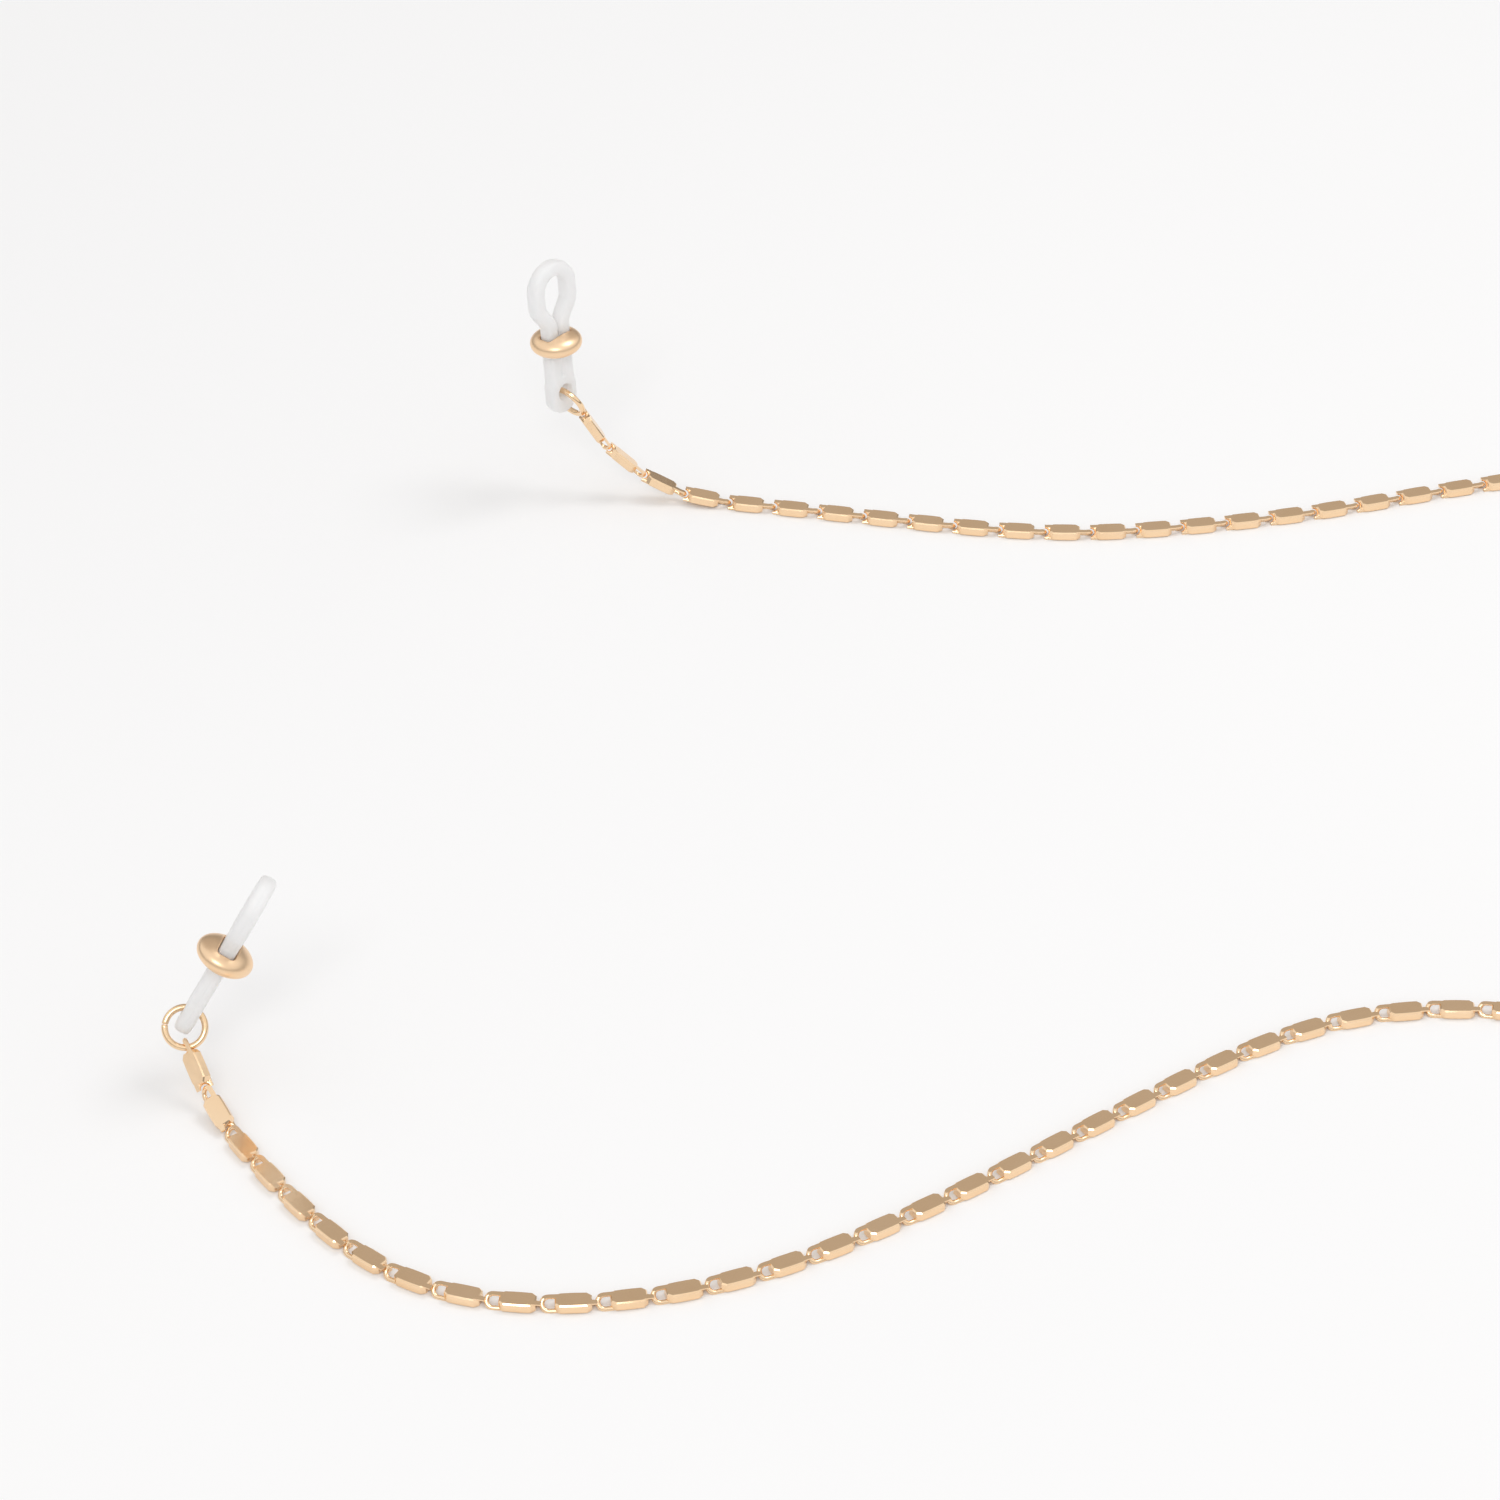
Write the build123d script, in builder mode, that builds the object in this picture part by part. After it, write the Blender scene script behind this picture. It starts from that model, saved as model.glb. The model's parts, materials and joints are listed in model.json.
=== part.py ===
"""Eyewear strand: a chain of flat links, with a jump ring, a silicone loop and a bead at each end.

Millimetres, +Z up. The chain rests on the plane Z = 0 and rises to both ends: the left end
near (-142, -45), the right end near (-102, 76). Links are numbered from the left end.
"""
from build123d import *
import os
from math import sin, cos, radians

# ---------------------------------------------------------------- link sizes
# a pressed plate with a round-wire eye at each end
LINK_PITCH = 6.0            # joint to joint along the chain
PLATE_LENGTH = 4.0
PLATE_WIDTH = 2.16          # at the shoulders
PLATE_CROWN = 0.04          # the long sides bow out by this
PLATE_END_WIDTH = 1.30
PLATE_SHOULDER = 1.50       # shoulder corners stand this far from the middle
PLATE_THICKNESS = 1.20
PLATE_BEVEL = 0.14          # cut edge round the top and bottom facets
EYE_WIRE_R = 0.29
EYE_R = 0.79                # centre line of the eye's round end
EYE_CENTRE = 2.60           # centre of the eye's round end from the plate's middle
EYE_LEG = 1.25              # straight legs running back into the plate
EYE_TWIST = 45.0            # the two eyes lean opposite ways, so neighbours cross at right angles
EYE_TRIM_LENGTH = 4 * EYE_CENTRE  # trimming box, clear of the eye in X and Y
EYE_TRIM_WIDTH = 4.0

# ---------------------------------------------------------------- jump ring sizes
RING_R = 2.27               # centre line
RING_WIRE_R = 0.38
RING_SAW_CUT = 1.2          # width of the cut, degrees
RING_CUT_AT = 253           # middle of the cut, degrees round from the eyelet

# ---------------------------------------------------------------- silicone connector sizes
# flat eyelet end, doubled cord, loop; heights are above the eyelet hole's centre
CORD = 2.0                  # cord section, square with rounded corners
CORD_ROUND = 0.6
CORD_OFFSET = 1.05          # each strand's centre line from the middle, where they run side by side
DOUBLE_WIDTH = 2 * CORD_OFFSET + CORD
EYELET_BELOW = 3.1          # eyelet hole centre to the rounded tip
EYELET_WIDTH = 4.5
EYELET_HOLE_R = 1.10
FLARE_LOW, FLARE_HIGH = 1.1, 2.0  # the eyelet end narrows to the doubled cord between these
SPLIT_HEIGHT = 6.9          # the two strands part here
NECK_HEIGHT = 9.6           # the loop starts to open here
LOOP_R = 2.8                # centre line of the loop's round top
LOOP_STRAIGHT = 13.3        # sides are parallel again from here
LOOP_TOP_CENTRE = 15.1      # centre of the loop's round top
LOOP_TANGENT_PULL = (1.1, 1.1)  # how firmly the opening curves hold their end directions
EDGE_TOLERANCE = 1e-6       # for picking edges on the flat faces
SPLIT_EDGE_MARGIN = 0.01    # keeps the edges at the split out of the fillet

# ---------------------------------------------------------------- slider bead sizes
BEAD_R = 3.4
BEAD_HALF = 1.55            # half the bead's height
BEAD_BULGE_R = 0.70 * BEAD_R             # point the rounded profile passes through
BEAD_BULGE_HEIGHT = 0.775 * BEAD_HALF
BEAD_SLOT_CLEARANCE = 0.16  # slot over cord, both ways
BEAD_SLOT_WIDTH = DOUBLE_WIDTH + BEAD_SLOT_CLEARANCE
BEAD_SLOT_DEPTH = CORD + BEAD_SLOT_CLEARANCE
BEAD_SLOT_ROUND = 0.62

# ---------------------------------------------------------------- how the strand lies
# joint between the left jump ring and the first link
START = (-141.87031, -45.29117, 5.91315)
# heading of each link in the plane of the table, degrees from +X towards +Y
HEADING = [
    -59.7, -58.4, -57.1, -54.9, -52, -47.5, -39.8, -28.6, -16.3, -5.6, 2.7, 9.3,
    15.3, 21, 26.2, 30.1, 32.6, 34, 35.1, 36, 36.7, 36.7, 36.4, 35.7,
    34, 30.1, 24, 16.1, 7.4, -0.5, -7, -12.1, -16, -18.7, -20.4, -21,
    -20.7, -19.6, -17.7, -15.2, -12, -8.3, -4.1, 0.5, 5.5, 10.7, 16.2, 21.9,
    27.7, 33.7, 39.7, 45.7, 51.7, 57.7, 63.6, 69.4, 75.2, 80.8, 86.4, 91.8,
    97.1, 102.2, 107.3, 112.2, 117, 121.7, 126.2, 130.7, 135, 139.3, 143.5, 147.5,
    151.5, 155.4, 159.2, 162.9, 166.6, 170.1, 173.5, 176.7, 179.9, 182.8, 185.6, 188.2,
    190.5, 192.5, 194.3, 195.6, 196.6, 196.8, 195.4, 193.1, 190.9, 189.3, 187.2, 183.7,
    179.1, 174.5, 171.1, 169.3, 168.9, 169, 169.4, 169.8, 170, 170.3, 170.4, 170.4,
]
# climb of the links that leave the table, degrees, by link number
CLIMB = {1: -36.5, 2: -16.9, 104: 0.3, 105: 7.0, 106: 24.7, 107: 40.2, 108: 56.4}
# turn of a link about its own length, degrees, by link number
ROLL = {1: 60.0, 2: 27.0, 106: 9.0, 107: 16.0, 108: 20.0}

# links per piece: singles near the ends, then pairs, threes round the middle
GROUP_SIZES = [1] * 6 + [2] * 15 + [3] * 12 + [2] * 15 + [1] * 6

# eyelet: hole centre; up: along the cord; through: along the hole;
# bead_height: bead centre above the hole; ring_normal: square to the ring's plane
ENDS = {
    "left": dict(
        eyelet=(-141.084, -42.792, 8.909),
        up=(0.49097, 0.13329, 0.86092),
        through=(0.86270, -0.21190, -0.45918),
        bead_height=7.9,
        ring_centre=(-142.022, -44.213, 7.408),
        ring_normal=(-0.14786, 0.76262, -0.62972),
    ),
    "right": dict(
        eyelet=(-103.233, 76.212, 15.851),
        up=(-0.05942, 0.04865, 0.99705),
        through=(0.72894, -0.68027, 0.07664),
        bead_height=7.2,
        ring_centre=(-102.180, 76.507, 13.862),
        ring_normal=(0.59621, 0.68588, 0.41727),
    ),
}


# ---------------------------------------------------------------- placing
def link_planes():
    """One plane per link: origin in the plate's middle, X along the link, Z out of the top facet."""
    planes = []
    joint = Vector(*START)
    for number, degrees in enumerate(HEADING, 1):
        heading = radians(degrees)
        climb = radians(CLIMB.get(number, 0.0))
        roll = radians(ROLL.get(number, 0.0))
        along = Vector(cos(heading) * cos(climb), sin(heading) * cos(climb), sin(climb))
        side = Vector(-sin(heading), cos(heading), 0)
        normal = along.cross(side) * cos(roll) - side * sin(roll)
        middle = joint + along * (LINK_PITCH / 2)
        planes.append(Plane(origin=middle, x_dir=along, z_dir=normal))
        joint = joint + along * LINK_PITCH
    return planes


def connector_plane(eyelet, up, through):
    """Origin in the eyelet hole, X across the cord, Y through the hole, Z up the cord."""
    z = Vector(*up).normalized()
    y = Vector(*through)
    y = (y - z * y.dot(z)).normalized()
    return Plane(origin=Vector(*eyelet), x_dir=y.cross(z), z_dir=z)


def placed(part, places):
    """A copy of the part at each place."""
    with BuildPart() as copies:
        with Locations(*places):
            add(part)
    return copies.part


# ---------------------------------------------------------------- link
def make_plate():
    """The bevelled plate, centred on the origin with its length along X."""
    end = PLATE_LENGTH / 2
    end_y = PLATE_END_WIDTH / 2
    shoulder = PLATE_SHOULDER
    shoulder_y = PLATE_WIDTH / 2
    crown_y = shoulder_y + PLATE_CROWN
    with BuildPart() as plate:
        with BuildSketch(Plane.XY.offset(-PLATE_THICKNESS / 2)):
            with BuildLine():
                Polyline(
                    (-shoulder, shoulder_y), (-end, end_y), (-end, -end_y), (-shoulder, -shoulder_y)
                )
                ThreePointArc((-shoulder, -shoulder_y), (0, -crown_y), (shoulder, -shoulder_y))
                Polyline(
                    (shoulder, -shoulder_y), (end, -end_y), (end, end_y), (shoulder, shoulder_y)
                )
                ThreePointArc((shoulder, shoulder_y), (0, crown_y), (-shoulder, shoulder_y))
            make_face()
        extrude(amount=PLATE_THICKNESS)
        levels = plate.edges().group_by(Axis.Z)
        chamfer(levels[0] + levels[-1], PLATE_BEVEL)
    return plate.part


def make_eye(way):
    """Half a ring with two straight legs, at the -X (way = -1) or +X (way = 1) end."""
    twist = radians(EYE_TWIST)
    lean = Vector(0, cos(twist), -way * sin(twist))
    centre = Vector(way * EYE_CENTRE, 0, 0)
    # X across the eye, Z back towards the plate
    mouth = Plane(origin=centre, x_dir=lean, z_dir=Vector(-way, 0, 0))
    with BuildPart() as eye:
        with BuildSketch(mouth):
            with Locations((EYE_R, 0), (-EYE_R, 0)):
                Circle(EYE_WIRE_R)
        extrude(amount=EYE_LEG)
        with BuildSketch(mouth):
            with Locations((EYE_R, 0)):
                Circle(EYE_WIRE_R)
        revolve(axis=Axis(centre, mouth.y_dir * -way), revolution_arc=180)
        # cut flat, level with the plate's top and bottom
        Box(EYE_TRIM_LENGTH, EYE_TRIM_WIDTH, PLATE_THICKNESS, mode=Mode.INTERSECT)
    return eye.part


def make_link():
    plate = make_plate()
    eyes = [make_eye(way) for way in (-1, 1)]
    with BuildPart() as link:
        add(plate)
        add(eyes[0])
        add(eyes[1])
    return link.part


# ---------------------------------------------------------------- jump ring
def make_jump_ring(centre, normal, eyelet):
    """A wire ring with a fine saw cut, its X direction towards the eyelet hole."""
    towards = Vector(*eyelet) - Vector(*centre)
    lie = Plane(origin=centre, x_dir=towards, z_dir=normal)
    start = radians(RING_CUT_AT + RING_SAW_CUT / 2)
    spoke = lie.x_dir * cos(start) + lie.y_dir * sin(start)
    mouth = Plane(origin=centre, x_dir=spoke, z_dir=spoke.cross(lie.z_dir))
    with BuildPart() as ring:
        with BuildSketch(mouth):
            with Locations((RING_R, 0)):
                Circle(RING_WIRE_R)
        revolve(axis=Axis(Vector(*centre), lie.z_dir), revolution_arc=360 - RING_SAW_CUT)
    return ring.part


# ---------------------------------------------------------------- silicone connector
def make_connector():
    """Modelled about its eyelet hole: X across, Y through the hole, Z up the cord."""
    tip = EYELET_WIDTH / 2
    tip_height = tip - EYELET_BELOW
    double = DOUBLE_WIDTH / 2
    with BuildPart() as connector:
        # eyelet end and doubled cord
        with BuildSketch(Plane.XZ.offset(-CORD / 2)):
            with BuildLine():
                ThreePointArc((-tip, tip_height), (0, -EYELET_BELOW), (tip, tip_height))
                Polyline(
                    (tip, tip_height),
                    (tip, FLARE_LOW),
                    (double, FLARE_HIGH),
                    (double, SPLIT_HEIGHT),
                    (-double, SPLIT_HEIGHT),
                    (-double, FLARE_HIGH),
                    (-tip, FLARE_LOW),
                    (-tip, tip_height),
                )
            make_face()
        extrude(amount=CORD)
        # round the outline of both flat faces, leaving the split end sharp for the loop
        fillet(
            [
                edge
                for edge in connector.edges()
                if abs(abs(edge.center().Y) - CORD / 2) < EDGE_TOLERANCE
                and edge.center().Z < SPLIT_HEIGHT - SPLIT_EDGE_MARGIN
            ],
            CORD_ROUND,
        )
        # loop: up the +X strand, over the top and down the -X strand
        with BuildLine(Plane.XZ) as path:
            rise = Line((CORD_OFFSET, SPLIT_HEIGHT), (CORD_OFFSET, NECK_HEIGHT))
            spread = Spline(
                rise @ 1,
                (LOOP_R, LOOP_STRAIGHT),
                tangents=((0, 1), (0, 1)),
                tangent_scalars=LOOP_TANGENT_PULL,
            )
            side_up = Line(spread @ 1, (LOOP_R, LOOP_TOP_CENTRE))
            over = ThreePointArc(
                side_up @ 1, (0, LOOP_TOP_CENTRE + LOOP_R), (-LOOP_R, LOOP_TOP_CENTRE)
            )
            side_down = Line(over @ 1, (-LOOP_R, LOOP_STRAIGHT))
            close = Spline(
                side_down @ 1,
                (-CORD_OFFSET, NECK_HEIGHT),
                tangents=((0, -1), (0, -1)),
                tangent_scalars=LOOP_TANGENT_PULL,
            )
            Line(close @ 1, (-CORD_OFFSET, SPLIT_HEIGHT))
        with BuildSketch(
            Plane(origin=(CORD_OFFSET, 0, SPLIT_HEIGHT), x_dir=(1, 0, 0), z_dir=(0, 0, 1))
        ):
            RectangleRounded(CORD, CORD, CORD_ROUND)
        sweep(path=path.wires()[0])
        # eyelet hole
        with BuildSketch(Plane.XZ.offset(-CORD)):
            Circle(EYELET_HOLE_R)
        extrude(amount=2 * CORD, mode=Mode.SUBTRACT)
    return connector.part


# ---------------------------------------------------------------- slider bead
def make_bead():
    """A round bead about Z, with a slot along Z for the doubled cord."""
    with BuildPart() as bead:
        with BuildSketch(Plane.XZ):
            with BuildLine():
                Line((0, -BEAD_HALF), (0, BEAD_HALF))
                Spline(
                    (0, BEAD_HALF), (BEAD_BULGE_R, BEAD_BULGE_HEIGHT), (BEAD_R, 0),
                    tangents=((1, 0), (0, -1)),
                )
                Spline(
                    (BEAD_R, 0), (BEAD_BULGE_R, -BEAD_BULGE_HEIGHT), (0, -BEAD_HALF),
                    tangents=((0, -1), (-1, 0)),
                )
            make_face()
        revolve(axis=Axis.Z)
        with BuildSketch(Plane.XY.offset(-2 * BEAD_HALF)):
            RectangleRounded(BEAD_SLOT_WIDTH, BEAD_SLOT_DEPTH, BEAD_SLOT_ROUND)
        extrude(amount=4 * BEAD_HALF, mode=Mode.SUBTRACT)
    return bead.part


# ---------------------------------------------------------------- write the pieces
def write(name, part):
    part.label = name
    export_step(part, f"parts/{name}.step")


def write_ends():
    connector = make_connector()
    bead = make_bead()
    for side, end in ENDS.items():
        frame = connector_plane(end["eyelet"], end["up"], end["through"])
        ring = make_jump_ring(end["ring_centre"], end["ring_normal"], end["eyelet"])
        write(f"{side}_silicone_loop", placed(connector, [frame]))
        write(f"{side}_slider_bead", placed(bead, [frame.offset(end["bead_height"])]))
        write(f"{side}_jump_ring", ring)


def write_chain():
    """The chain from left to right, each link its own solid."""
    link = make_link()
    places = link_planes()
    first = 1
    for count in GROUP_SIZES:
        last = first + count - 1
        name = f"link_{first:03d}" if count == 1 else f"links_{first:03d}_{last:03d}"
        write(name, placed(link, places[first - 1:last]))
        first = last + 1


os.makedirs("parts", exist_ok=True)
write_ends()
write_chain()
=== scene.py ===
# A gold-plated link chain lying on a paper floor (metres, +Z up). At each side, left and right,
# a jump ring joins the chain to the eyelet of a silicone connector: a cord doubled into a loop,
# with a gold bead that slides along it. The camera looks along +Y and down.
import json
import math
import bpy
import bmesh
import numpy as np
from mathutils import Matrix, Vector


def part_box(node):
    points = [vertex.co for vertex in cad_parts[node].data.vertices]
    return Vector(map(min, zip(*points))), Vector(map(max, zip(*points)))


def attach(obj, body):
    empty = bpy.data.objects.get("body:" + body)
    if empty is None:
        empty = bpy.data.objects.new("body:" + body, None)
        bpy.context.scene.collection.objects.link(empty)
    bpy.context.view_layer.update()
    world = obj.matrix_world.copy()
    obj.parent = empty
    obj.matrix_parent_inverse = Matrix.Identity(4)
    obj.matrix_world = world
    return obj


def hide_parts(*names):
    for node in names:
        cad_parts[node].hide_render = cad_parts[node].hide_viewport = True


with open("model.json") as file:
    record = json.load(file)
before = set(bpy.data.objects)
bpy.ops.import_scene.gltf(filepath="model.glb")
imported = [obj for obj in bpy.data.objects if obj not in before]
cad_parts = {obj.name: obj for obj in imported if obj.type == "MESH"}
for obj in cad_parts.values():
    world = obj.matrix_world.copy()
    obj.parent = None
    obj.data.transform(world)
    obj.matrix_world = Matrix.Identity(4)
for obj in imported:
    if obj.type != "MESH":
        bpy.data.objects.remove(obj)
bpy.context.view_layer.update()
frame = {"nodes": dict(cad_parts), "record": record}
JOINTS = {joint["name"]: joint for joint in frame["record"]["behaviour"]["joints"]}
MM = 0.001

# Connector, in mm about its eyelet: X across the cord, Y through the eyelet, Z up the cord
CORD_HALF = 1.0            # half the side of the cord's rounded square section
CORD_ROUND = 0.62          # its corner radius
STRAND_X = 1.05            # centre line of each of the two parallel strands
CORD_START = 0.6
NECK_TOP = 9.6             # the strands part above this height
LOOP_RADIUS = 2.8
LOOP_STRAIGHT = 13.3       # the strands are parallel again from here
LOOP_CENTRE = 15.1         # centre of the loop's round end
TAIL_TIP = 3.1             # reach of the tail below the eyelet's centre
TAIL_HALF_WIDTH = 2.25
TAIL_NARROWING = 0.30      # loss of half width over the shoulder
TAIL_TOP, TAIL_TOP_HALF_WIDTH = 2.55, 1.9
WEB_HALF_WIDTH, WEB_HALF_THICKNESS, WEB_ROUND = 1.2, 0.72, 0.2
WEB_BOTTOM, WEB_TOP = 1.0, 6.9
HOLE_RADIUS = 1.06
HOLE_SEGMENTS = 48
# One side of the eyelet: distance from mid thickness, radius added to the hole's
HOLE_FLARE = [(0.72, 0), (0.95, 0.12), (1.15, 0.30), (1.6, 0.75)]
VOXEL = 0.085
SEAM_HEIGHT, SEAM_WIDTH = 0.03, 0.07
UNEVENNESS = 0.012

# Bead, in mm
BEAD_RADIUS, BEAD_HALF_HEIGHT = 3.4, 1.55
BEAD_SEGMENTS, BEAD_ROWS = 160, 30
SLOT_GAP = 0.08            # clearance round the two strands
SLOT_HALF_WIDTH = STRAND_X + CORD_HALF + SLOT_GAP
SLOT_HALF_DEPTH = CORD_HALF + SLOT_GAP
SLOT_ROUND = CORD_ROUND
LIP_RADIUS = 0.22

# Jump ring
RING_ROWS, WIRE_SEGMENTS = 144, 28
CUT_HALF_ANGLE = math.radians(0.6)
END_SCALES = (0.80, 0.93)  # wire radius of the first two rows at each end
# Angle in radians of the second and third rows from each end
END_STEPS = ((1, 0.018), (2, 0.054))


# ------------------------------------------------------------------ shader helpers
def add_node(tree, kind, values=None):
    node = tree.nodes.new("ShaderNode" + kind)
    for socket, value in (values or {}).items():
        node.inputs[socket].default_value = value
    return node


def new_material(name, values):
    """A cleared material with one Principled shader; also returns its object coordinates."""
    material = bpy.data.materials.new(name)
    material.use_nodes = True
    tree = material.node_tree
    tree.nodes.clear()
    output = add_node(tree, "OutputMaterial")
    shader = add_node(tree, "BsdfPrincipled", values)
    tree.links.new(shader.outputs[0], output.inputs[0])
    coords = add_node(tree, "TexCoord").outputs["Object"]
    return material, tree, shader, coords


def noise(tree, coords, scale, detail=3.0, roughness=0.5, stretch=None):
    texture = add_node(
        tree, "TexNoise", {"Scale": scale, "Detail": detail, "Roughness": roughness})
    if stretch:
        mapping = add_node(tree, "Mapping", {"Scale": stretch})
        tree.links.new(coords, mapping.inputs["Vector"])
        coords = mapping.outputs[0]
    tree.links.new(coords, texture.inputs["Vector"])
    return texture.outputs["Fac"]


def remap(tree, value, to_range=(0.0, 1.0), from_range=(0.3, 0.7), interpolation="LINEAR"):
    node = add_node(tree, "MapRange", {
        "From Min": from_range[0], "From Max": from_range[1],
        "To Min": to_range[0], "To Max": to_range[1]})
    node.interpolation_type = interpolation
    tree.links.new(value, node.inputs["Value"])
    return node.outputs[0]


def blend_colour(tree, factor, first, second):
    node = add_node(tree, "Mix")
    node.data_type = "RGBA"
    tree.links.new(factor, node.inputs[0])
    # inputs 6 and 7 and output 2 are the Mix node's colour sockets
    node.inputs[6].default_value = (*first, 1)
    node.inputs[7].default_value = (*second, 1)
    return node.outputs[2]


def add_bump(tree, shader, height, strength, distance):
    bump = add_node(tree, "Bump", {"Strength": strength, "Distance": distance})
    tree.links.new(height, bump.inputs["Height"])
    tree.links.new(bump.outputs[0], shader.inputs["Normal"])


# ------------------------------------------------------------------ materials
def gold(name, light, dark, roughness, bump_strength, bump_distance):
    """Plated metal: two tones in broad clouds, uneven gloss and fine stretched scratches."""
    material, tree, shader, coords = new_material(name, {"Metallic": 1.0})
    clouds = remap(tree, noise(tree, coords, scale=160.0))
    tree.links.new(blend_colour(tree, clouds, light, dark), shader.inputs["Base Color"])
    fine = noise(tree, coords, scale=900.0, detail=4.0, roughness=0.6)
    tree.links.new(remap(tree, fine, roughness), shader.inputs["Roughness"])
    scratches = noise(tree, coords, scale=9000.0, detail=2.0, stretch=(1.0, 0.25, 0.6))
    add_bump(tree, shader, scratches, bump_strength, bump_distance)
    return material


def silicone():
    """Milky, slightly translucent rubber."""
    material, tree, shader, coords = new_material("silicone_milky", {
        "IOR": 1.41,
        "Subsurface Weight": 0.85,
        "Subsurface Radius": (1.0, 0.95, 0.95),
        "Subsurface Scale": 0.003,
        "Transmission Weight": 0.15,
        "Specular IOR Level": 0.45})
    clouds = remap(tree, noise(tree, coords, scale=220.0))
    colour = blend_colour(tree, clouds, (0.99, 0.975, 0.972), (0.975, 0.962, 0.965))
    tree.links.new(colour, shader.inputs["Base Color"])
    gloss = remap(tree, noise(tree, coords, scale=1200.0), to_range=(0.30, 0.42))
    tree.links.new(gloss, shader.inputs["Roughness"])
    ripple = noise(tree, coords, scale=700.0, detail=2.0)
    add_bump(tree, shader, ripple, strength=0.12, distance=0.00002)
    return material


def paper():
    material, tree, shader, coords = new_material(
        "floor_paper", {"Roughness": 0.9, "Specular IOR Level": 0.15})
    clouds = remap(tree, noise(tree, coords, scale=3.0))
    colour = blend_colour(tree, clouds, (0.915, 0.915, 0.918), (0.90, 0.90, 0.905))
    tree.links.new(colour, shader.inputs["Base Color"])
    return material


GOLD_LINK = gold(
    "gold_plate_link", light=(0.97, 0.72, 0.475), dark=(0.94, 0.68, 0.43),
    roughness=(0.15, 0.23), bump_strength=0.10, bump_distance=0.000002)
GOLD_RING = gold(
    "gold_plate_ring", light=(0.96, 0.71, 0.455), dark=(0.92, 0.66, 0.41),
    roughness=(0.10, 0.17), bump_strength=0.08, bump_distance=0.000002)
GOLD_BEAD = gold(
    "gold_plate_bead", light=(0.96, 0.70, 0.46), dark=(0.935, 0.67, 0.425),
    roughness=(0.31, 0.37), bump_strength=0.06, bump_distance=0.0000015)
SILICONE = silicone()


# ------------------------------------------------------------------ mesh helpers
def link_object(name, data):
    obj = bpy.data.objects.new(name, data)
    bpy.context.scene.collection.objects.link(obj)
    return obj


def shade_smooth(mesh):
    mesh.polygons.foreach_set("use_smooth", [True] * len(mesh.polygons))


def new_object(name, verts, faces, material=None, smooth=True):
    mesh = bpy.data.meshes.new(name)
    mesh.from_pydata([tuple(vert) for vert in verts], [], faces)
    mesh.update()
    if smooth:
        shade_smooth(mesh)
    if material:
        mesh.materials.append(material)
    return link_object(name, mesh)


def new_solid(name, verts, faces, material=None):
    """A smooth object with its normals turned outward."""
    obj = new_object(name, verts, faces, material)
    bm = bmesh.new()
    bm.from_mesh(obj.data)
    bmesh.ops.recalc_face_normals(bm, faces=bm.faces)
    bm.to_mesh(obj.data)
    bm.free()
    return obj


def grid_faces(rows, cols, wrap_rows):
    """Quads between rows of vertices; each row is a closed ring."""
    faces = []
    for i in range(rows if wrap_rows else rows - 1):
        row, next_row = i * cols, (i + 1) % rows * cols
        for j in range(cols):
            k = (j + 1) % cols
            faces.append((row + j, row + k, next_row + k, next_row + j))
    return faces


def tube_faces(rows, cols):
    """An open run of rings, capped at both ends."""
    first_cap = tuple(range(cols))[::-1]
    last_cap = tuple(range((rows - 1) * cols, rows * cols))
    return grid_faces(rows, cols, False) + [first_cap, last_cap]


def evaluated(obj):
    """A copy of the object's mesh with its modifiers applied."""
    depsgraph = bpy.context.evaluated_depsgraph_get()
    depsgraph.update()
    return bpy.data.meshes.new_from_object(obj.evaluated_get(depsgraph))


def vertex_vectors(mesh, field):
    values = np.zeros(len(mesh.vertices) * 3)
    mesh.vertices.foreach_get(field, values)
    return values.reshape(-1, 3)


def smoothstep(u):
    return u * u * (3 - 2 * u)


def connector_matrix(side):
    """From the connector's own directions and origin to the product's frame."""
    hinge = JOINTS[side + "_loop_swing"]
    z = Vector(JOINTS[side + "_bead_slide"]["axis"]).normalized()
    y = Vector(hinge["axis"])
    y = (y - z * y.dot(z)).normalized()
    x = y.cross(z)
    matrix = Matrix((x, y, z)).transposed().to_4x4()
    matrix.translation = Vector(hinge["pos_m"])
    return matrix


def register(obj, cad_name):
    """Let the object stand in for a CAD piece: it rides on that piece's body and the piece is
    hidden.
    """
    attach(obj, cad_name)
    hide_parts(cad_name)


# ------------------------------------------------------------------ silicone connector
def cord_section():
    """Rounded square, corner by corner: offset across the path, Y."""
    points = []
    corners = ((1, 1), (-1, 1), (-1, -1), (1, -1))
    for quarter, (sign_x, sign_y) in enumerate(corners):
        x = sign_x * (CORD_HALF - CORD_ROUND)
        y = sign_y * (CORD_HALF - CORD_ROUND)
        for i in range(5):
            angle = math.radians(90 * quarter + 90 * i / 4)
            points.append((x + CORD_ROUND * math.cos(angle), y + CORD_ROUND * math.sin(angle)))
    return points


def cord_path():
    """Centre line in X, Z: up the +X strand, round the loop and down the -X strand."""
    points = [(STRAND_X, z) for z in np.linspace(CORD_START, NECK_TOP, 26)]
    for u in np.linspace(0, 1, 22)[1:]:
        points.append((STRAND_X + (LOOP_RADIUS - STRAND_X) * smoothstep(u),
                       NECK_TOP + u * (LOOP_STRAIGHT - NECK_TOP)))
    points += [(LOOP_RADIUS, z) for z in np.linspace(LOOP_STRAIGHT, LOOP_CENTRE, 8)[1:]]
    for degrees in np.linspace(0, 90, 20)[1:]:
        angle = math.radians(degrees)
        points.append((LOOP_RADIUS * math.cos(angle),
                       LOOP_CENTRE + LOOP_RADIUS * math.sin(angle)))
    plus_x = np.array(points)
    minus_x = plus_x[:-1][::-1] * [-1, 1]
    return np.vstack([plus_x, minus_x])


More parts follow.
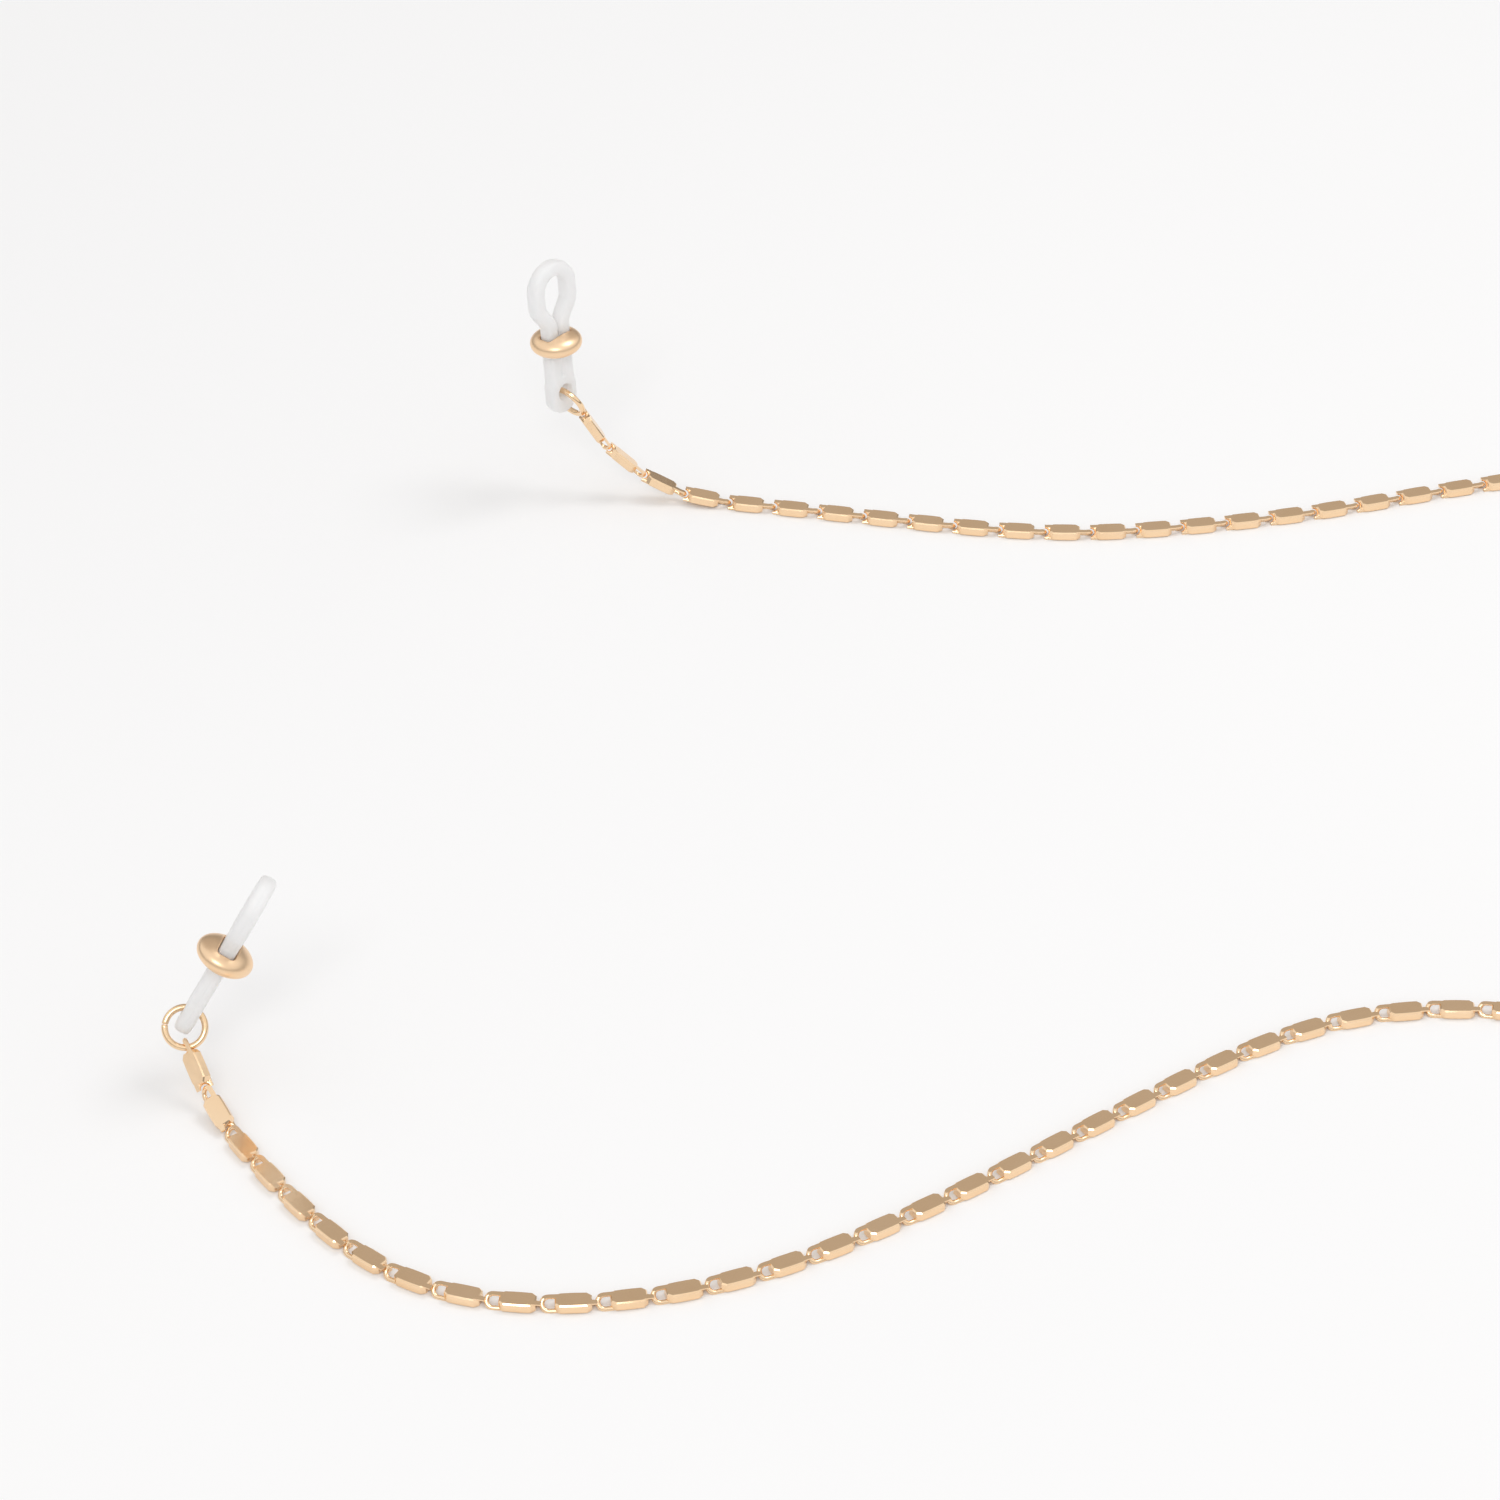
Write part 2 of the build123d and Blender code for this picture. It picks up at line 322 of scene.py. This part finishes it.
def cord_mesh():
    path, section = cord_path(), cord_section()
    tangents = np.gradient(path, axis=0)
    tangents /= np.linalg.norm(tangents, axis=1)[:, None]
    normals = np.c_[tangents[:, 1], -tangents[:, 0]]
    verts = [(point[0] + normal[0] * across, y, point[1] + normal[1] * across)
             for point, normal in zip(path, normals)
             for across, y in section]
    return verts, tube_faces(len(path), len(section))


def slab_mesh(half_thickness, rim_radius, outline):
    """A flat slab with rounded rims from a closed outline in X, Z."""
    outline = np.array(outline)
    tangents = np.roll(outline, -1, 0) - np.roll(outline, 1, 0)
    tangents /= np.linalg.norm(tangents, axis=1)[:, None]
    inward = np.c_[-tangents[:, 1], tangents[:, 0]]
    rim_degrees = np.linspace(-90, 90, 13)
    verts = []
    for degrees in rim_degrees:
        angle = math.radians(degrees)
        y = (half_thickness - rim_radius) * np.sign(degrees) + rim_radius * math.sin(angle)
        for point, normal in zip(outline, inward):
            x, z = point + normal * rim_radius * (1 - math.cos(angle))
            verts.append((x, y, z))
    return verts, tube_faces(len(rim_degrees), len(outline))


def tail_outline():
    """Round tip, straight sides, then shoulders drawn in to a flat top."""
    tip = [(TAIL_HALF_WIDTH * math.cos(angle),
            TAIL_HALF_WIDTH - TAIL_TIP + TAIL_HALF_WIDTH * math.sin(angle))
           for angle in np.radians(np.linspace(180, 360, 41))]
    plus_x = [(TAIL_HALF_WIDTH, z) for z in np.linspace(-0.6, 0.7, 8)]
    plus_x += [(TAIL_HALF_WIDTH - TAIL_NARROWING * smoothstep(u), 0.8 + 1.6 * u)
               for u in np.linspace(0, 1, 10)]
    top = [(x, TAIL_TOP) for x in np.linspace(TAIL_TOP_HALF_WIDTH, -TAIL_TOP_HALF_WIDTH, 12)]
    minus_x = [(-x, z) for x, z in plus_x[::-1]]
    return tip + plus_x + top + minus_x


def web_outline():
    """The thin web between the strands."""
    points = [(-WEB_HALF_WIDTH, WEB_BOTTOM), (WEB_HALF_WIDTH, WEB_BOTTOM)]
    points += [(WEB_HALF_WIDTH, z) for z in np.linspace(1.5, WEB_TOP, 12)]
    points += [(-WEB_HALF_WIDTH, z) for z in np.linspace(WEB_TOP, 1.5, 12)]
    return points


def build_punch(side):
    """Cutter for the eyelet: a straight hole with softly flared lips."""
    profile = [(-y, HOLE_RADIUS + flare) for y, flare in HOLE_FLARE[::-1]]
    profile += [(y, HOLE_RADIUS + flare) for y, flare in HOLE_FLARE]
    angles = [2 * math.pi * k / HOLE_SEGMENTS for k in range(HOLE_SEGMENTS)]
    verts = [(radius * math.cos(angle), y, radius * math.sin(angle))
             for y, radius in profile for angle in angles]
    return new_solid("punch_" + side, verts, tube_faces(len(profile), HOLE_SEGMENTS))


def add_voxel_remesh(obj, name):
    remesh = obj.modifiers.new(name, "REMESH")
    remesh.mode = "VOXEL"
    remesh.voxel_size = VOXEL


def connector_body(side):
    """Cord, tail and web fused into one mesh, pierced by the eyelet and softened."""
    parts = [
        cord_mesh(),
        slab_mesh(CORD_HALF, CORD_ROUND, tail_outline()),
        slab_mesh(WEB_HALF_THICKNESS, WEB_ROUND, web_outline()),
    ]
    verts, faces = [], []
    for part_verts, part_faces in parts:
        base = len(verts)
        verts += part_verts
        faces += [tuple(i + base for i in face) for face in part_faces]
    raw = new_solid("raw_" + side, verts, faces)
    add_voxel_remesh(raw, "fuse")
    body = link_object("body_" + side, evaluated(raw))
    punch = build_punch(side)
    hole = body.modifiers.new("hole", "BOOLEAN")
    hole.operation = "DIFFERENCE"
    hole.object = punch
    hole.solver = "EXACT"
    add_voxel_remesh(body, "even")
    soft = body.modifiers.new("soft", "SMOOTH")
    soft.factor = 0.5
    soft.iterations = 10
    mesh = evaluated(body)
    for obj in (raw, body, punch):
        bpy.data.objects.remove(obj)
    return mesh


def build_connector(side):
    mesh = connector_body(side)
    # a fine raised seam round the outside at mid thickness, and a slight unevenness
    points = vertex_vectors(mesh, "co")
    normals = vertex_vectors(mesh, "normal")
    y, z = points[:, 1], points[:, 2]
    seam = np.exp(-(y / SEAM_WIDTH) ** 2) * (1 - np.abs(normals[:, 1]))
    lump = UNEVENNESS * np.sin(z * 1.3 + 0.7) * np.sin(z * 0.41)
    points = points + normals * (SEAM_HEIGHT * seam + lump)[:, None]
    points *= MM
    mesh.vertices.foreach_set("co", points.ravel())
    mesh.transform(connector_matrix(side))
    mesh.update()
    shade_smooth(mesh)
    # silicone is the only slot, whatever the modifiers leave
    mesh.materials.clear()
    mesh.materials.append(SILICONE)
    obj = link_object(side + "_silicone_cord", mesh)
    mesh.name = obj.name
    register(obj, side + "_silicone_loop")


# ------------------------------------------------------------------ bead: cushion with a slot
def slot_reach(angle):
    """Distance from the centre to the edge of the slot, a rounded rectangle."""
    cos_a, sin_a = abs(math.cos(angle)), abs(math.sin(angle))
    corner_x, corner_y = SLOT_HALF_WIDTH - SLOT_ROUND, SLOT_HALF_DEPTH - SLOT_ROUND
    along = cos_a * corner_x + sin_a * corner_y
    inside = along * along - (corner_x * corner_x + corner_y * corner_y - SLOT_ROUND ** 2)
    if inside > 0:
        reach = along + math.sqrt(inside)
        if reach * cos_a >= corner_x - 1e-9 and reach * sin_a >= corner_y - 1e-9:
            return reach
    return min(SLOT_HALF_WIDTH / max(cos_a, 1e-9), SLOT_HALF_DEPTH / max(sin_a, 1e-9))


def bead_height(x):
    """Half height at x, the fraction of the bead's radius."""
    return BEAD_HALF_HEIGHT * (1 - x ** 2.35) ** (1 / 2.15)


def bead_profile(slot_edge):
    """Closed radial section: radius, height. Lip, crown, rim, then the same mirrored below."""
    lip_end = slot_edge + LIP_RADIUS
    top = bead_height(lip_end / BEAD_RADIUS)
    upper = []
    for degrees in np.linspace(0, 90, 6)[:-1]:
        angle = math.radians(degrees)
        upper.append((slot_edge + LIP_RADIUS * (1 - math.cos(angle)),
                      top - LIP_RADIUS + LIP_RADIUS * math.sin(angle)))
    start = math.asin(lip_end / BEAD_RADIUS)
    for u in np.linspace(0, 1, BEAD_ROWS):
        x = math.sin(start + (math.pi / 2 - start) * u)
        upper.append((BEAD_RADIUS * x, bead_height(x)))
    return upper + [(radius, -z) for radius, z in upper[:-1][::-1]]


def build_bead(side):
    cad_name = side + "_slider_bead"
    matrix = connector_matrix(side)
    low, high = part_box(cad_name)
    rest_height = (matrix.inverted() @ ((Vector(low) + Vector(high)) / 2)).z / MM
    verts = []
    for k in range(BEAD_SEGMENTS):
        angle = 2 * math.pi * k / BEAD_SEGMENTS
        profile = bead_profile(slot_reach(angle))
        for radius, z in profile:
            verts.append((radius * math.cos(angle), radius * math.sin(angle), z + rest_height))
    faces = [(a, d, c, b) for a, b, c, d in grid_faces(BEAD_SEGMENTS, len(profile), True)]
    obj = new_solid(side + "_bead", np.array(verts) * MM, faces, GOLD_BEAD)
    obj.data.transform(matrix)
    register(obj, cad_name)


# ------------------------------------------------------------------ jump ring: round wire, cut once
def ring_plane(points):
    """Centre and axes of the ring, from a circle fitted in its plane of least spread."""
    mean = points.mean(0)
    spread = np.linalg.eigh(np.cov((points - mean).T))[1]
    normal, x_axis = spread[:, 0], spread[:, 2]
    y_axis = np.cross(normal, x_axis)
    flat = np.c_[(points - mean) @ x_axis, (points - mean) @ y_axis]
    system = np.c_[2 * flat, np.ones(len(flat))]
    fit = np.linalg.lstsq(system, (flat ** 2).sum(1), rcond=None)[0]
    return mean + fit[0] * x_axis + fit[1] * y_axis, x_axis, y_axis, normal


def build_ring(side):
    cad_name = side + "_jump_ring"
    points = vertex_vectors(frame["nodes"][cad_name].data, "co")
    points = np.unique(np.round(points, 8), axis=0)
    centre, x_axis, y_axis, normal = ring_plane(points)
    flat = np.c_[(points - centre) @ x_axis, (points - centre) @ y_axis]
    radii = np.linalg.norm(flat, axis=1)
    ring_radius = (radii.max() + radii.min()) / 2
    wire_radius = (radii.max() - radii.min()) / 2

    def joint_angle(joint):
        arm = np.array(JOINTS[side + joint]["pos_m"]) - centre
        return math.atan2(arm @ y_axis, arm @ x_axis)

    # the cut sits on the middle of the long way round between the first link and the eyelet
    link_angle = joint_angle("_ring_swing")
    between = (joint_angle("_loop_swing") - link_angle) % (2 * math.pi)
    cut = link_angle + between / 2
    if between <= math.pi:
        cut += math.pi

    # rows bunch up at the cut and shrink there, so its edges are eased
    angles = np.linspace(cut + CUT_HALF_ANGLE, cut + 2 * math.pi - CUT_HALF_ANGLE, RING_ROWS)
    for row, step in END_STEPS:
        angles[row] = angles[0] + step
        angles[-1 - row] = angles[-1] - step
    scales = np.ones(RING_ROWS)
    for row, scale in enumerate(END_SCALES):
        scales[row] = scales[-1 - row] = scale

    verts = []
    for angle, scale in zip(angles, scales):
        spoke = math.cos(angle) * x_axis + math.sin(angle) * y_axis
        radius = scale * wire_radius
        for j in range(WIRE_SEGMENTS):
            turn = 2 * math.pi * j / WIRE_SEGMENTS
            verts.append(centre + spoke * (ring_radius + radius * math.cos(turn))
                         + normal * radius * math.sin(turn))
    faces = tube_faces(RING_ROWS, WIRE_SEGMENTS)
    obj = new_solid(side + "_ring_wire", verts, faces, GOLD_RING)
    register(obj, cad_name)


# ------------------------------------------------------------------ floor, world, lights, camera
def build_floor():
    half = 4
    corners = [(-half, -half, 0), (half, -half, 0), (half, half, 0), (-half, half, 0)]
    floor = new_object("floor", corners, [(0, 1, 2, 3)], paper(), smooth=False)
    floor.location.z = -0.00002


def build_world():
    """White surround with a dimmer, warmer patch high towards +Y and a dark low band."""
    world = bpy.data.worlds.new("studio")
    bpy.context.scene.world = world
    world.use_nodes = True
    tree = world.node_tree
    tree.nodes.clear()
    output = add_node(tree, "OutputWorld")
    background = add_node(tree, "Background")
    direction = add_node(tree, "TexCoord").outputs["Generated"]

    patch_direction = Vector((0.05, 0.80, 0.60)).normalized()
    facing = add_node(tree, "VectorMath", {1: patch_direction})
    facing.operation = "DOT_PRODUCT"
    tree.links.new(direction, facing.inputs[0])
    patch = remap(tree, facing.outputs["Value"], to_range=(1.0, 0.55),
                  from_range=(0.70, 0.93), interpolation="SMOOTHSTEP")
    separate = add_node(tree, "SeparateXYZ")
    tree.links.new(direction, separate.inputs[0])
    band = remap(tree, separate.outputs["Z"], to_range=(0.28, 1.0),
                 from_range=(0.16, 0.30), interpolation="SMOOTHSTEP")

    both = add_node(tree, "Math")
    both.operation = "MULTIPLY"
    tree.links.new(patch, both.inputs[0])
    tree.links.new(band, both.inputs[1])
    level = add_node(tree, "Math", {1: 0.93})  # overall brightness
    level.operation = "MULTIPLY"
    tree.links.new(both.outputs[0], level.inputs[0])
    tree.links.new(level.outputs[0], background.inputs["Strength"])
    tint = blend_colour(tree, patch, (1.0, 0.86, 0.73), (1.0, 1.0, 1.0))
    tree.links.new(tint, background.inputs["Color"])
    tree.links.new(background.outputs[0], output.inputs[0])


def build_light(name, location, size, energy):
    """A rectangular light aimed at the product."""
    target = Vector((-0.06, 0.0, 0.0))
    light = bpy.data.lights.new(name, "AREA")
    light.shape = "RECTANGLE"
    light.size, light.size_y = size
    light.energy = energy
    obj = link_object(name, light)
    obj.location = location
    obj.rotation_euler = (target - Vector(location)).to_track_quat("-Z", "Y").to_euler()


def build_camera():
    camera = bpy.data.cameras.new("camera")
    camera.sensor_width = 36.0
    camera.lens = 120.08
    camera.clip_start = 0.01
    camera.clip_end = 20
    obj = link_object("camera", camera)
    obj.location = (-0.078435, -0.478481, 0.36708)
    obj.rotation_euler = (math.radians(53.54), 0, 0)
    bpy.context.scene.camera = obj


for side in ("left", "right"):
    build_connector(side)
    build_bead(side)
    build_ring(side)

# the chain links keep their CAD solids
for name, obj in frame["nodes"].items():
    if name.startswith("link"):
        obj.data.materials.clear()
        obj.data.materials.append(GOLD_LINK)

build_floor()
build_world()
build_light("key", location=(0.30, 0.15, 0.75), size=(0.30, 0.30), energy=1.2)
build_light("front", location=(-0.20, -0.70, 0.75), size=(0.45, 0.22), energy=1.6)
build_camera()
bpy.context.scene.view_settings.view_transform = "Standard"
